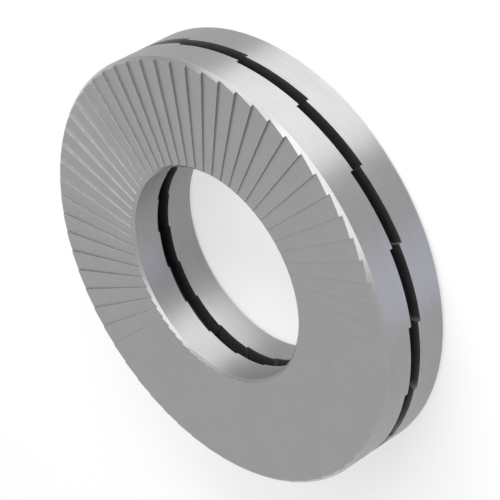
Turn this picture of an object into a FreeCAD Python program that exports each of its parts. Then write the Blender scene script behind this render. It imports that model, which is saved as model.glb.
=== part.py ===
# Pair of wedge lock washers for a 5 mm bolt, held together by a film of adhesive.
# Both washers are the same part: fine teeth on the outer face bite into the joint,
# and the wedge cams on the inner face climb each other if the bolt starts to turn back.
# Millimetres. The bolt's axis is Z, and the lower washer's teeth stand on the plane Z = 0.
import FreeCAD, Part
import Sketcher
import os

doc = FreeCAD.newDocument("wedge_lock_washers")

# Driving dimensions
sizes = {
    "outer_diameter": 10.8,
    "bore_diameter": 5.4,
    # plain stock between the foot of the teeth and the foot of the cams
    "core_thickness": 0.75,
    # depth of a tooth and rise of a cam, both at the outer edge
    "tooth_depth": 0.052,
    "cam_rise": 0.085,
    "tooth_count": 64,
    "cam_count": 18,
    # degrees from a cam's step to the radius that the tooth beside it is cut along
    "tooth_turn": 0.78,
    # bevel, the same both ways, round the toothed face and the bore's mouth
    "edge_bevel": 0.104,
    # adhesive between the two cam faces, and how far it stops short of both edges
    "film_thickness": 0.31,
    "film_inset": 0.45,
}
sheet = doc.addObject("Spreadsheet::Sheet", "Sizes")
for row, (name, value) in enumerate(sizes.items(), start=1):
    sheet.set(f"A{row}", name)
    sheet.set(f"B{row}", str(value))
    sheet.setAlias(f"B{row}", name)
doc.recompute()

# Places worked out from those sizes, as formulas. A washer's heights are taken from the
# middle of the pair, with its teeth upwards.
outer_radius = "Sizes.outer_diameter / 2"
bore_radius = "Sizes.bore_diameter / 2"
cam_tip = "(Sizes.film_thickness - Sizes.cam_rise) / 2"
cam_foot = "(Sizes.film_thickness + Sizes.cam_rise) / 2"
tooth_foot = f"{cam_foot} + Sizes.core_thickness"
tooth_tip = f"{tooth_foot} + Sizes.tooth_depth"
bevel_foot = f"{tooth_tip} - Sizes.edge_bevel"
# A tooth's steep side stands half a tooth's width beside the radius that it is cut along.
tooth_side = f"{outer_radius} * tan(180deg / Sizes.tooth_count)"
tooth_width = f"{outer_radius} * sin(360deg / Sizes.tooth_count)"
cam_width = f"{outer_radius} * sin(360deg / Sizes.cam_count)"


def origin_feature(body, role):
    return next(feature for feature in body.Origin.OriginFeatures if feature.Role == role)


def closed_outline(body, name, plane, corners):
    # a straight-sided sketch, each corner a pair of formulas: across, up
    sketch = body.newObject("Sketcher::SketchObject", name)
    sketch.AttachmentSupport = [(origin_feature(body, plane), "")]
    sketch.MapMode = "FlatFace"
    points = [
        FreeCAD.Vector(sheet.evalExpression(across), sheet.evalExpression(up), 0)
        for across, up in corners
    ]
    following = points[1:] + points[:1]
    for start, end in zip(points, following):
        sketch.addGeometry(Part.LineSegment(start, end), False)
    for line, (point, corner) in enumerate(zip(points, corners)):
        next_line = (line + 1) % len(corners)
        sketch.addConstraint(Sketcher.Constraint("Coincident", line, 2, next_line, 1))
        for direction, formula, start in zip(("DistanceX", "DistanceY"), corner, point):
            distance = Sketcher.Constraint(direction, -1, 1, line, 1, start)
            place = sketch.addConstraint(distance)
            sketch.setExpression(f"Constraints[{place}]", formula)
    return sketch


def cut_all_round(body, name, corners, count, turn):
    # One straight cut outwards, along the radius at this turn, repeated round the axis.
    # It starts inside the bore, where the cuts on both sides have already met the wall.
    start = f"{bore_radius} * cos(720deg / {count})"
    sketch = closed_outline(body, name + "Outline", "YZ_Plane", corners)
    sketch.AttachmentOffset.Rotation.Axis = FreeCAD.Vector(0, 1, 0)
    sketch.setExpression(".AttachmentOffset.Rotation.Angle", turn)
    sketch.setExpression(".AttachmentOffset.Base.x", f"{start} * sin({turn})")
    sketch.setExpression(".AttachmentOffset.Base.z", f"{start} * cos({turn})")

    stock = body.Shape.Volume
    cut = body.newObject("PartDesign::Pocket", name)
    cut.Profile = sketch
    cut.Type = "ThroughAll"
    cut.Reversed = True
    doc.recompute()
    if not cut.Shape.Volume < stock:
        raise RuntimeError(f"{body.Label}: {name} removes nothing")

    ring = body.newObject("PartDesign::PolarPattern", name + "Ring")
    ring.Originals = [cut]
    ring.Axis = (origin_feature(body, "Z_Axis"), [""])
    ring.Angle = 360
    ring.setExpression("Occurrences", count)
    body.Tip = ring
    doc.recompute()


def washer(label):
    body = doc.addObject("PartDesign::Body", label)
    body.Label = label

    section = closed_outline(body, "Section", "XZ_Plane", [
        (bore_radius, cam_tip),
        (outer_radius, cam_tip),
        (outer_radius, bevel_foot),
        (f"{outer_radius} - Sizes.edge_bevel", tooth_tip),
        (f"{bore_radius} + Sizes.edge_bevel", tooth_tip),
        (bore_radius, bevel_foot),
    ])
    blank = body.newObject("PartDesign::Revolution", "Blank")
    blank.Profile = section
    blank.ReferenceAxis = (section, ["V_Axis"])
    blank.Angle = 360
    doc.recompute()

    # Each cut is drawn two teeth or two cams wide, so that it runs out past its neighbour.
    # It deepens evenly across the radius that it is cut along, so teeth and cams get
    # lower towards the bore while their feet stay level.
    cut_all_round(body, "Tooth", [
        (tooth_side, tooth_foot),
        (tooth_side, f"{tooth_tip} + Sizes.tooth_depth"),
        (f"{tooth_side} - 2 * {tooth_width}", f"{tooth_tip} + Sizes.tooth_depth"),
    ], "Sizes.tooth_count", "Sizes.tooth_turn * 1deg")
    cut_all_round(body, "Cam", [
        ("0", cam_foot),
        (f"-2 * {cam_width}", f"{cam_tip} - Sizes.cam_rise"),
        ("0", f"{cam_tip} - Sizes.cam_rise"),
    ], "Sizes.cam_count", "0deg")

    body.setExpression(".Placement.Base.z", tooth_tip)
    return body


def film_cylinder(name, radius):
    # as tall as the space between the feet of the upper and the lower cams
    cylinder = doc.addObject("Part::Cylinder", name)
    cylinder.setExpression("Radius", radius)
    cylinder.setExpression("Height", f"2 * {cam_foot}")
    cylinder.setExpression(".Placement.Base.z", "Sizes.core_thickness + Sizes.tooth_depth")
    return cylinder


def difference(name, base, tool):
    cut = doc.addObject("Part::Cut", name)
    cut.Base = base
    cut.Tool = tool
    return cut


# The lower washer is the upper one turned over about a cam's step, so that their cams nest.
upper = washer("upper_washer")
lower = washer("lower_washer")
lower.Placement.Rotation = FreeCAD.Rotation(FreeCAD.Vector(1, 0, 0), 180)
doc.recompute()

# The film takes the form of both cam faces.
film_disc = film_cylinder("FilmDisc", f"{outer_radius} - Sizes.film_inset")
film_hole = film_cylinder("FilmHole", f"{bore_radius} + Sizes.film_inset")
film_ring = difference("FilmRing", film_disc, film_hole)
film_under_upper = difference("FilmUnderUpper", film_ring, upper)
film = difference("adhesive_film", film_under_upper, lower)
film.Label = "adhesive_film"
doc.recompute()

for item in doc.Objects:
    if "Invalid" in item.State or "Error" in item.State:
        raise RuntimeError(f"{item.Label} did not build: {item.State}")
nodes = [upper, lower, film]
for node in nodes:
    if node.Shape.isNull() or not node.Shape.isValid() or len(node.Shape.Solids) != 1:
        raise RuntimeError(f"{node.Label} is not one sound solid")

os.makedirs("parts", exist_ok=True)
for node in nodes:
    node.Shape.exportStep(f"parts/{node.Label}.step")
    box = node.Shape.BoundBox
    print(f"{node.Label}: {node.Shape.Volume:.2f} mm3, {len(node.Shape.Faces)} faces, "
          f"Z {box.ZMin:.3f} to {box.ZMax:.3f}, {box.XLength:.3f} across")
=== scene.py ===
import math
import bmesh
import bpy
from mathutils import Matrix, Vector


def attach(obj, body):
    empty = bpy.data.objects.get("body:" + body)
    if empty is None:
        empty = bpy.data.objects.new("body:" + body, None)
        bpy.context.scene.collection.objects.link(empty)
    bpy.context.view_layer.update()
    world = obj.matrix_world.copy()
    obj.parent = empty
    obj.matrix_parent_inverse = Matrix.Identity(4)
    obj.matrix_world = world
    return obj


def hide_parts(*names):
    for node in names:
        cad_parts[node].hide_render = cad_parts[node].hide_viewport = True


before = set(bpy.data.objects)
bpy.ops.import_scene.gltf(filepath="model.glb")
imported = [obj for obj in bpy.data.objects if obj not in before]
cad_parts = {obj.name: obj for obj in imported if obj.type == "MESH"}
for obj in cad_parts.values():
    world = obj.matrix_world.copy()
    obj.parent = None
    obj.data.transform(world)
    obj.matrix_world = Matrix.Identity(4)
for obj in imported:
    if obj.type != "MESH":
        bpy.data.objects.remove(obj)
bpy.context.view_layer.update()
mm = 0.001
axis = Vector((0, 0, 1))
centre = Vector((0, 0, 0))


# one washer, in mm from the middle of the pair with its teeth upwards
washer = {
    "outerRadius": 5.4,
    "boreRadius": 2.7,
    "core": 0.75,           # plain stock between the feet of the teeth and of the cams
    "toothDepth": 0.052,
    "camRise": 0.085,
    "teeth": 64,
    "cams": 18,
    "toothTurn": 0.78,      # degrees from a cam's step to the radius a tooth is cut along
    "edgeBevel": 0.104,
    "film": 0.31,           # adhesive between the two cam faces
    "toothedJoin": 0.60,    # where the toothed half ends on the walls
    "cammedJoin": 0.45,     # where the cammed half ends on the walls
    "columns": 576,         # faces round the wall, a multiple of both counts
    "rows": 6,              # cuts across each land between the bore and the rim
    "edgeRound": 0.01,      # on the crests of the teeth
    "roundShare": 0.25,     # of that width, on every other sharp edge
    "roundSteps": 2,
    "sharpAngle": 30,       # degrees; an edge whose faces turn by more is rounded
    "creaseAngle": 20,      # degrees; an edge whose faces turn by more is shaded as a crease
}
camFoot = (washer["film"] + washer["camRise"]) / 2
toothFoot = camFoot + washer["core"]
halfHeight = toothFoot + washer["toothDepth"]      # from the floor to the middle of the pair

# the washer's finishes in the order of its material slots
finishOrder = ["toothedFace", "rim", "bore", "bevel", "camFace", "stampedStep", "wornEdge"]

# how near counts as the same place, in mm
cutReach = 1e-6
planeReach = 1e-5
joinReach = 1e-4


def spinSector(corners, start, end, steps):
    # sweeps an open chain of (radius, height) corners through part of a turn
    bm = bmesh.new()
    points = [bm.verts.new((radius, 0, height)) for radius, height in corners]
    chain = [bm.edges.new(pair) for pair in zip(points, points[1:])]
    bmesh.ops.rotate(bm, verts=points, cent=centre, matrix=Matrix.Rotation(start, 3, "Z"))
    bmesh.ops.spin(bm, geom=points + chain, axis=axis, cent=centre, angle=end - start, steps=steps)
    return bm


def across(angle):
    # the level direction square to the radius at this angle
    return Vector((-math.sin(angle), math.cos(angle), 0))


def cutPlane(bm, point, normal):
    # takes away what lies past a plane
    parts = bm.verts[:] + bm.edges[:] + bm.faces[:]
    bmesh.ops.bisect_plane(bm, geom=parts, dist=cutReach, plane_co=point, plane_no=normal, clear_outer=True)


def markFoot(bm, height, sideways, offset):
    # splits the last column beside a step at the neighbour's height,
    # so that the two share a corner there
    column = [face for face in bm.faces
              if any(abs(corner.co.dot(sideways) - offset) < planeReach for corner in face.verts)]
    parts = column + list({part for face in column for part in face.verts[:] + face.edges[:]})
    bmesh.ops.bisect_plane(bm, geom=parts, dist=cutReach, plane_co=axis * height, plane_no=axis)


def closeLand(bm, point, normal):
    # spans the sloping land between its cut edges at the bore and at the rim
    arcs = [edge for edge in bm.edges if edge.is_boundary
            and all(abs((corner.co - point).dot(normal)) < planeReach for corner in edge.verts)]
    bridged = bmesh.ops.bridge_loops(bm, edges=arcs)
    longest = 1      # mm; an edge along the rim or the bore is shorter, one that crosses the land longer
    crossing = [edge for edge in bridged["edges"] if edge.calc_length() > longest]
    bmesh.ops.subdivide_edges(bm, edges=crossing, cuts=washer["rows"], use_grid_fill=True)


def repeatRound(bm, count, joinHeight):
    # copies the sector round the axis and fills the upright steps between neighbours
    parts = bm.verts[:] + bm.edges[:] + bm.faces[:]
    turn = math.tau * (count - 1) / count
    bmesh.ops.spin(bm, geom=parts, axis=axis, cent=centre, angle=turn, steps=count - 1, use_duplicate=True)
    bmesh.ops.remove_doubles(bm, verts=bm.verts[:], dist=joinReach)
    gaps = [edge for edge in bm.edges if edge.is_boundary
            and any(abs(corner.co.z - joinHeight) > joinReach for corner in edge.verts)]
    bmesh.ops.holes_fill(bm, edges=gaps, sides=0)


def toothedHalf():
    rim, bore, bevel = washer["outerRadius"], washer["boreRadius"], washer["edgeBevel"]
    join, tip = washer["toothedJoin"], halfHeight
    pitch = math.tau / washer["teeth"]
    turn = math.radians(washer["toothTurn"])
    side = rim * math.tan(pitch / 2)      # from that radius to the tooth's steep side
    slope = washer["toothDepth"] / (rim * math.sin(pitch))
    corners = [(rim, join), (rim, tip - bevel), (rim - bevel, tip),
               (bore + bevel, tip), (bore, tip - bevel), (bore, join)]
    # the stock reaches from before the tooth's place at the rim to past its place at the bore
    column = pitch / (washer["columns"] // washer["teeth"] - 1)
    lead, width = 1.5, 16      # columns before that place, and in all
    start = turn - pitch / 2 - lead * column
    bm = spinSector(corners, start, start + width * column, width)
    here, neighbour = across(turn), across(turn - pitch)
    cutPlane(bm, here * side, here)
    cutPlane(bm, neighbour * side, -neighbour)
    markFoot(bm, toothFoot, neighbour, side)
    lean = (axis + here * slope).normalized()
    cutPlane(bm, here * side + axis * toothFoot, lean)
    closeLand(bm, here * side + axis * toothFoot, lean)
    repeatRound(bm, washer["teeth"], join)
    return bm


def cammedHalf():
    rim, bore, join = washer["outerRadius"], washer["boreRadius"], washer["cammedJoin"]
    pitch = math.tau / washer["cams"]
    slope = washer["camRise"] / (rim * math.sin(pitch))
    excess = 0.1      # mm of stock past the cam's tip, which the sloping cut takes away
    end = camFoot - washer["camRise"] - excess
    corners = [(rim, join), (rim, end), (bore, end), (bore, join)]
    bm = spinSector(corners, -pitch, 0, washer["columns"] // washer["cams"])
    markFoot(bm, camFoot, across(-pitch), 0)
    lean = (across(0) * slope - axis).normalized()
    cutPlane(bm, axis * camFoot, lean)
    closeLand(bm, axis * camFoot, lean)
    repeatRound(bm, washer["cams"], join)
    return bm


def joinHalves(bm, other):
    # brings the other half in and closes the walls between the two at the rim and at the bore
    spare = bpy.data.meshes.new("spare")
    other.to_mesh(spare)
    other.free()
    bm.from_mesh(spare)
    bpy.data.meshes.remove(spare)
    middle = (washer["outerRadius"] + washer["boreRadius"]) / 2
    openEdges = [edge for edge in bm.edges if edge.is_boundary]
    for outside in (True, False):
        rings = [edge for edge in openEdges if (edge.verts[0].co.xy.length > middle) == outside]
        bmesh.ops.bridge_loops(bm, edges=rings)


def chooseFinish(face):
    # by how the face points: outwards, inwards, aslant, sideways, down or up
    wall, slant = 0.95, 0.5      # cosines
    middle = face.calc_center_median()
    outwards = face.normal.dot(Vector((middle.x, middle.y, 0)).normalized())
    if abs(outwards) > wall:
        return "rim" if outwards > 0 else "bore"
    if abs(outwards) > slant:
        return "bevel"
    if abs(face.normal.z) < slant:
        return "stampedStep"
    return "camFace" if face.normal.z < 0 else "toothedFace"


def weighEdges(bm):
    # how far each sharp edge is rounded: the crests of the teeth fully, the others less
    weight = bm.edges.layers.float.new("bevel_weight_edge")
    crestSides = {finishOrder.index("toothedFace"), finishOrder.index("stampedStep")}
    for edge in bm.edges:
        if len(edge.link_faces) == 2 and edge.calc_face_angle() > math.radians(washer["sharpAngle"]):
            sides = {face.material_index for face in edge.link_faces}
            edge[weight] = 1 if edge.is_convex and sides == crestSides else washer["roundShare"]


def makeWasher(name, node, turnedOver, finishes):
    bm = toothedHalf()
    joinHalves(bm, cammedHalf())
    bmesh.ops.recalc_face_normals(bm, faces=bm.faces[:])
    for face in bm.faces:
        face.smooth = True
        face.material_index = finishOrder.index(chooseFinish(face))
    weighEdges(bm)
    if turnedOver:
        bmesh.ops.rotate(bm, verts=bm.verts[:], cent=centre, matrix=Matrix.Rotation(math.pi, 3, "X"))
    bmesh.ops.translate(bm, verts=bm.verts[:], vec=axis * halfHeight)
    bmesh.ops.scale(bm, verts=bm.verts[:], vec=(mm, mm, mm))
    mesh = bpy.data.meshes.new(name)
    bm.to_mesh(mesh)
    bm.free()
    mesh.set_sharp_from_angle(angle=math.radians(washer["creaseAngle"]))
    for finish in finishOrder:
        mesh.materials.append(finishes[finish])
    piece = bpy.data.objects.new(name, mesh)
    bpy.context.scene.collection.objects.link(piece)
    rounding = piece.modifiers.new("edgeRound", "BEVEL")
    rounding.width = washer["edgeRound"] * mm
    rounding.segments = washer["roundSteps"]
    rounding.limit_method = "WEIGHT"
    rounding.use_clamp_overlap = False
    rounding.harden_normals = True
    rounding.material = finishOrder.index("wornEdge")
    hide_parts(node)
    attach(piece, "root")
    print(name, "made with", len(mesh.polygons), "faces")


def newMaterial(name):
    material = bpy.data.materials.new(name)
    material.use_nodes = True
    return material, material.node_tree.nodes["Principled BSDF"]


def addNode(material, kind, **settings):
    node = material.node_tree.nodes.new(kind)
    for name, value in settings.items():
        if name in node.inputs:
            node.inputs[name].default_value = value
        else:
            setattr(node, name, value)
    return node


def link(material, source, target):
    material.node_tree.links.new(source, target)


def objectPattern(material, stretch=(1, 1, 1)):
    # the piece's own coordinates, in mm from the middle of the pair, stretched for the pattern
    place = addNode(material, "ShaderNodeTexCoord")
    mapping = addNode(material, "ShaderNodeMapping")
    mapping.inputs["Location"].default_value = (0, 0, -halfHeight * stretch[2])
    mapping.inputs["Scale"].default_value = [value / mm for value in stretch]
    link(material, place.outputs["Object"], mapping.inputs["Vector"])
    return mapping.outputs["Vector"]


def noise(material, pattern, scale, detail=3):
    texture = addNode(material, "ShaderNodeTexNoise", Scale=scale, Detail=detail)
    link(material, pattern, texture.inputs["Vector"])
    return texture.outputs["Fac"]


def ramp(material, source, stops):
    # each stop is a place and a grey or a colour
    node = addNode(material, "ShaderNodeValToRGB")
    elements = node.color_ramp.elements
    while len(elements) < len(stops):
        elements.new(0.5)      # its place is set below
    for element, (place, value) in zip(elements, stops):
        element.position = place
        element.color = (*value, 1) if isinstance(value, tuple) else (value, value, value, 1)
    link(material, source, node.inputs["Fac"])
    return node.outputs["Color"]


def fade(material, source, reach, first, second):
    # from the first tone at the low end of the reach to the second at its high end
    low, high = reach
    return ramp(material, source, [(low, first), (high, second)])


def mixColours(material, first, second, how):
    # a Mix node's colours go in at its sockets 6 and 7 and come out of its socket 2
    node = addNode(material, "ShaderNodeMix", data_type="RGBA", blend_type=how)
    node.inputs[0].default_value = 1
    link(material, first, node.inputs[6])
    link(material, second, node.inputs[7])
    return node.outputs[2]


def larger(material, first, second):
    node = addNode(material, "ShaderNodeMath", operation="MAXIMUM")
    link(material, first, node.inputs[0])
    link(material, second, node.inputs[1])
    return node.outputs[0]


def spread(material, source, low, high):
    node = addNode(material, "ShaderNodeMapRange")
    node.inputs["To Min"].default_value = low
    node.inputs["To Max"].default_value = high
    link(material, source, node.inputs["Value"])
    return node.outputs["Result"]


def bump(material, shader, height, depth):
    node = addNode(material, "ShaderNodeBump", Distance=depth * mm)
    link(material, height, node.inputs["Height"])
    link(material, node.outputs["Normal"], shader.inputs["Normal"])


# zinc flake coating on steel; colours are linear, lengths in mm
coating = {
    "dark": (0.448, 0.45, 0.453),
    "pale": (0.52, 0.52, 0.52),
    "grain": 26,                  # flakes per mm
    "grainReach": (0.2, 0.8),     # values of the pattern where the dark and the pale tone are full
    "mottle": 1.3,                # broad patches per mm
    "mottleDetail": 4,
    "mottleReach": (0.3, 0.7),
    "mottleTone": 0.96,           # of the darker patches
    "roughnessSpread": 0.025,     # either way, from flake to flake
    "bandTurn": 0.25,             # of a turn, so that the light band on a turned wall runs along the axis
}

# the coating on each part of a washer: stretch draws the pattern out round the axis, anisotropic draws the
# reflections out along it, and shade darkens the whole as painted shade: most on the stamped steps, where
# it draws the dark lines of the teeth, then on the rim, and least in the bore, which is kept lighter as
# painted light against its own shade
drawnOut = (0.05, 0.05, 1)
coatedParts = {
    "toothedFace": {"roughness": 0.4, "grainDepth": 0.0006},
    "rim": {
        "roughness": 0.45, "grainDepth": 0.0001, "stretch": drawnOut, "anisotropic": 0.98, "shade": 0.92,
    },
    "bore": {
        "roughness": 0.55, "grainDepth": 0.0001, "stretch": drawnOut, "anisotropic": 0.82, "shade": 0.99,
    },
    "bevel": {"roughness": 0.3, "grainDepth": 0.0001, "stretch": drawnOut},
    "stampedStep": {"roughness": 0.5, "grainDepth": 0.0004, "shade": 0.70},
}


def coatedSteel(name, roughness, grainDepth, stretch=(1, 1, 1), anisotropic=0, shade=1):
    material, shader = newMaterial(name)
    grain = noise(material, objectPattern(material, stretch), coating["grain"])
    mottle = noise(material, objectPattern(material), coating["mottle"], coating["mottleDetail"])
    fine = fade(material, grain, coating["grainReach"], coating["dark"], coating["pale"])
    # shade scales the coating's tones: painted shade that differs from part to part
    broad = fade(material, mottle, coating["mottleReach"], coating["mottleTone"] * shade, shade)
    link(material, mixColours(material, fine, broad, "MULTIPLY"), shader.inputs["Base Color"])
    shader.inputs["Metallic"].default_value = 1
    more = coating["roughnessSpread"]
    link(material, spread(material, grain, roughness - more, roughness + more), shader.inputs["Roughness"])
    bump(material, shader, grain, grainDepth)
    if anisotropic:
        tangent = addNode(material, "ShaderNodeTangent", direction_type="RADIAL", axis="Z")
        link(material, tangent.outputs["Tangent"], shader.inputs["Tangent"])
        shader.inputs["Anisotropic"].default_value = anisotropic
        shader.inputs["Anisotropic Rotation"].default_value = coating["bandTurn"]
    return material


# the same coating on the cam faces, with painted light and shade by radius: lighter than the coating at the
# rim and the bore, and dark further in from each edge, in the gap between the washers
camFace = {
    # share of the way from the bore to the rim, and the painted tone there
    "paintedLightAndShade": [(0.0, 0.70), (0.08, 0.32), (0.17, 0.06), (0.83, 0.06), (0.92, 0.32), (1.0, 0.74)],
    "speckReach": (0.3, 0.7),
    "speckTone": 0.85,            # of the darker flakes
    "patches": 9,                 # per mm
    "smoothest": 0.3,
    "roughest": 0.45,
}


def camSteel():
    material, shader = newMaterial("camFace")
    pattern = objectPattern(material)
    level = addNode(material, "ShaderNodeVectorMath", operation="MULTIPLY")
    level.inputs[1].default_value = (1, 1, 0)
    link(material, pattern, level.inputs[0])
    radius = addNode(material, "ShaderNodeVectorMath", operation="LENGTH")
    link(material, level.outputs["Vector"], radius.inputs[0])
    share = addNode(material, "ShaderNodeMapRange")
    share.inputs["From Min"].default_value = washer["boreRadius"]
    share.inputs["From Max"].default_value = washer["outerRadius"]
    link(material, radius.outputs["Value"], share.inputs["Value"])
    # painted light and shade: light at the cam faces' edges, dark further in between the washers
    tone = ramp(material, share.outputs["Result"], camFace["paintedLightAndShade"])
    grain = noise(material, pattern, coating["grain"])
    speck = fade(material, grain, camFace["speckReach"], camFace["speckTone"], 1)
    link(material, mixColours(material, tone, speck, "MULTIPLY"), shader.inputs["Base Color"])
    shader.inputs["Metallic"].default_value = 1
    patches = noise(material, pattern, camFace["patches"])
    roughness = spread(material, patches, camFace["smoothest"], camFace["roughest"])
    link(material, roughness, shader.inputs["Roughness"])
    return material


# the rounded edges, rubbed in patches
wornEdge = {
    "dark": (0.43, 0.433, 0.436),
    "pale": (0.51, 0.51, 0.51),
    "patches": 6,                 # per mm
    "patchReach": (0.35, 0.65),
    "roughDark": 0.72,
    "roughPale": 0.62,
}


def wornSteel():
    material, shader = newMaterial("wornEdge")
    rub = noise(material, objectPattern(material), wornEdge["patches"])
    tone = fade(material, rub, wornEdge["patchReach"], wornEdge["dark"], wornEdge["pale"])
    link(material, tone, shader.inputs["Base Color"])
    shader.inputs["Metallic"].default_value = 1
    roughness = spread(material, rub, wornEdge["roughDark"], wornEdge["roughPale"])
    link(material, roughness, shader.inputs["Roughness"])
    return material


# the adhesive film between the cam faces; its near-black tone is also painted shade that darkens the gap
# between the washers
adhesive = {
    "dark": (0.006, 0.006, 0.007),
    "pale": (0.016, 0.016, 0.018),
    "lumps": 12,                  # per mm
    "lumpReach": (0.3, 0.7),
    "lumpDepth": 0.01,
    "smoothest": 0.45,
    "roughest": 0.65,
}


def adhesiveFilm():
    material, shader = newMaterial("adhesive")
    lumps = noise(material, objectPattern(material), adhesive["lumps"])
    tone = fade(material, lumps, adhesive["lumpReach"], adhesive["dark"], adhesive["pale"])
    link(material, tone, shader.inputs["Base Color"])
    roughness = spread(material, lumps, adhesive["smoothest"], adhesive["roughest"])
    link(material, roughness, shader.inputs["Roughness"])
    bump(material, shader, lumps, adhesive["lumpDepth"])
    return material


# camera: lengths in mm, angles in degrees, taken from the photograph's perspective
view = {
    "azimuth": -4.85,
    "elevation": 35.264,
    "roll": -120.0,
    "distance": 51.79,
    "lens": 159.78,
    "sensor": 36,
    "aside": 0.1864,        # how far the line of sight passes the middle of the pair
    "above": 0.2030,
    "nearest": 1,
    "furthest": 10000,
}


def direction(azimuth, elevation):
    turn, rise = math.radians(azimuth), math.radians(elevation)
    return Vector((math.cos(rise) * math.cos(turn), math.cos(rise) * math.sin(turn), math.sin(rise)))


def makeCamera():
    towards = direction(view["azimuth"], view["elevation"])
    up = (axis - towards * towards.z).normalized()
    right = up.cross(towards)
    roll = math.radians(view["roll"])
    sideways = right * math.cos(roll) + up * math.sin(roll)
    upwards = up * math.cos(roll) - right * math.sin(roll)
    place = (axis * halfHeight + towards * view["distance"]
             + sideways * view["aside"] + upwards * view["above"])
    facing = Matrix((sideways, upwards, towards)).transposed().to_4x4()
    data = bpy.data.cameras.new("photoCamera")
    data.lens = view["lens"]
    data.sensor_width = view["sensor"]
    data.clip_start = view["nearest"] * mm
    data.clip_end = view["furthest"] * mm
    camera = bpy.data.objects.new("photoCamera", data)
    camera.matrix_world = Matrix.Translation(place * mm) @ facing
    bpy.context.scene.collection.objects.link(camera)
    bpy.context.scene.camera = camera
    print("camera set at the photograph's angle")


# lengths in mm, angles in degrees
studio = {
    "floor": (0.5, 0.5, 0.5),
    "floorRoughness": 0.9,
    "floorSpecular": 0.1,
    "floorLift": 0.5,        # lifts the floor to the photograph's white for the camera and in reflections
    "floorReach": 105,       # to each side; past it the world is as white
    # tones of the world and the heights that they fade between, as sines
    "horizon": 1.0,
    "horizonFade": (0.06, 0.14),
    "lowSky": 0.72,
    "sky": 0.66,
    "skyFade": (0.14, 0.3),
    # dark parts of the studio, each one's size given as the cosines that it fades out between
    "cards": [
        {"azimuth": -14, "elevation": 24, "tone": 0.05, "edge": 0.88, "core": 0.95},
        {"azimuth": 118, "elevation": 18, "tone": 0.75, "edge": 0.80, "core": 0.93},
    ],
    "lampDistance": 120,
}

# lamps: a radiance of 1 is white
lamps = {
    "mainSoftbox": {
        "azimuth": 43.5, "elevation": 21, "width": 147, "height": 38,
        "radiance": 9.7, "colour": (1, 1, 1),
    },
    "coolFill": {
        "azimuth": -45, "elevation": 8, "width": 78, "height": 26,
        "radiance": 2.7, "colour": (0.57, 0.61, 1),
    },
    "overheadStrip": {
        "azimuth": 6, "elevation": 54, "width": 134, "height": 30,
        "radiance": 2.0, "colour": (1, 1, 1),
    },
}


def makeFloor():
    bm = bmesh.new()
    bmesh.ops.create_grid(bm, x_segments=1, y_segments=1, size=studio["floorReach"] * mm)
    mesh = bpy.data.meshes.new("floor")
    bm.to_mesh(mesh)
    bm.free()
    floor = bpy.data.objects.new("floor", mesh)
    bpy.context.scene.collection.objects.link(floor)
    material, shader = newMaterial("paleFloor")
    shader.inputs["Base Color"].default_value = (*studio["floor"], 1)
    shader.inputs["Roughness"].default_value = studio["floorRoughness"]
    shader.inputs["Specular IOR Level"].default_value = studio["floorSpecular"]
    rays = addNode(material, "ShaderNodeLightPath").outputs
    seen = larger(material, rays["Is Camera Ray"], rays["Is Glossy Ray"])
    seen = larger(material, seen, rays["Is Transmission Ray"])
    lift = addNode(material, "ShaderNodeMath", operation="MULTIPLY")
    lift.inputs[1].default_value = studio["floorLift"]
    link(material, seen, lift.inputs[0])
    glow = addNode(material, "ShaderNodeEmission")
    link(material, lift.outputs[0], glow.inputs["Strength"])
    both = addNode(material, "ShaderNodeAddShader")
    link(material, shader.outputs[0], both.inputs[0])
    link(material, glow.outputs[0], both.inputs[1])
    link(material, both.outputs[0], material.node_tree.nodes["Material Output"].inputs["Surface"])
    mesh.materials.append(material)


def makeLamp(name, lamp):
    data = bpy.data.lights.new(name, "AREA")
    data.shape = "RECTANGLE"
    data.size = lamp["width"] * mm
    data.size_y = lamp["height"] * mm
    data.energy = lamp["radiance"] * math.pi * data.size * data.size_y
    data.color = lamp["colour"]
    away = direction(lamp["azimuth"], lamp["elevation"])
    item = bpy.data.objects.new(name, data)
    item.location = (away * studio["lampDistance"] + axis) * mm      # from 1 mm above the floor
    item.rotation_euler = away.to_track_quat("Z", "Y").to_euler()
    item.visible_camera = False      # lights the object without standing in the picture
    bpy.context.scene.collection.objects.link(item)


def makeWorld():
    world = bpy.data.worlds.new("studio")
    bpy.context.scene.world = world
    world.use_nodes = True
    background = world.node_tree.nodes["Background"]
    place = addNode(world, "ShaderNodeTexCoord")
    split = addNode(world, "ShaderNodeSeparateXYZ")
    link(world, place.outputs["Generated"], split.inputs[0])
    sky = fade(world, split.outputs["Z"], studio["skyFade"], studio["lowSky"], studio["sky"])
    for card in studio["cards"]:
        facing = addNode(world, "ShaderNodeVectorMath", operation="DOT_PRODUCT")
        facing.inputs[1].default_value = direction(card["azimuth"], card["elevation"])
        link(world, place.outputs["Generated"], facing.inputs[0])
        shade = fade(world, facing.outputs["Value"], (card["edge"], card["core"]), 1, card["tone"])
        sky = mixColours(world, sky, shade, "MULTIPLY")
    # the white of the floor goes on above the horizon, behind the object in low views
    horizon = fade(world, split.outputs["Z"], studio["horizonFade"], studio["horizon"], 0)
    link(world, mixColours(world, sky, horizon, "LIGHTEN"), background.inputs["Color"])


makeCamera()
finishes = {name: coatedSteel(name, **values) for name, values in coatedParts.items()}
finishes["camFace"] = camSteel()
finishes["wornEdge"] = wornSteel()
print("finishes mixed")
makeWasher("upperWasher", "upper_washer", False, finishes)
makeWasher("lowerWasher", "lower_washer", True, finishes)
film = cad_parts["adhesive_film"]
film.data.materials.clear()
film.data.materials.append(adhesiveFilm())
print("adhesive film finished")
makeFloor()
makeWorld()
for name, lamp in lamps.items():
    makeLamp(name, lamp)
bpy.context.scene.view_settings.view_transform = "Standard"
print("studio lit")
